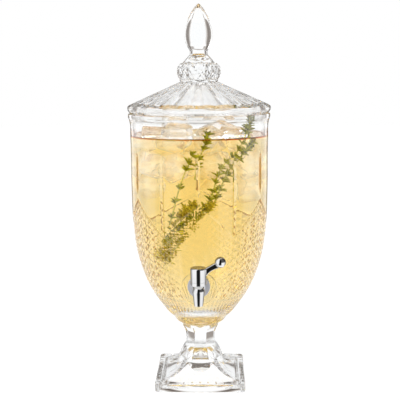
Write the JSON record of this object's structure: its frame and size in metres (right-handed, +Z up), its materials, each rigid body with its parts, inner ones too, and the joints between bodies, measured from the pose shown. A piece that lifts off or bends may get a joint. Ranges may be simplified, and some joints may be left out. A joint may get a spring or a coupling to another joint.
{
  "type": "glass beverage dispenser",
  "caption": "Cut-glass drinks dispenser: footed bowl with a lift-off fluted lid and bud finial, and a chromed quarter-turn tap with a ball-ended lever.",
  "frame": {"origin": "centre of the square foot's base, on the surface that it stands on and on the bowl's axis", "axes": "+Z up the bowl's axis, -Y out through the tap, +X to the right of someone facing the tap, where the lever points when it is shut"},
  "size_m": [0.197, 0.2093, 0.5265],
  "materials": {
    "clear_glass": "clear pressed and cut glass, polished",
    "polished_chrome": "bright polished plating",
    "stainless_steel": "bright turned steel",
    "silicone_seal": "milky translucent silicone",
    "ring_rubber": "matt black",
    "acetal": "turned, satin"
  },
  "bodies": {
    "dispenser": {"pedestal_foot": "clear_glass", "glass_bowl": "clear_glass", "tap_body": "polished_chrome", "stop_pin": "stainless_steel", "escutcheon": "polished_chrome", "outer_gasket": "silicone_seal", "inner_gasket": "silicone_seal", "nut_washer": "stainless_steel", "shank_nut": "stainless_steel", "thrust_washer": "acetal", "bonnet_nut": "stainless_steel"},
    "lid": {"lid_cover": "clear_glass", "lid_finial": "clear_glass"},
    "tap_lever": {"valve_plug": "acetal", "plug_o_rings": "ring_rubber", "lever_hood": "polished_chrome", "lever_arm": "polished_chrome", "lever_ball": "polished_chrome", "cap_screw": "stainless_steel", "cover_disc": "polished_chrome"}
  },
  "joints": [
    {"name": "lid_lift", "type": "slide", "parent": "dispenser", "child": "lid", "axis": [0, 0, 1], "range_m": [0, 0.16]},
    {"name": "tap_turn", "type": "hinge", "parent": "dispenser", "child": "tap_lever", "pos_m": [0, -0.1, 0.1666], "axis": [0, 0, -1], "range_deg": [0, 90]}
  ]
}
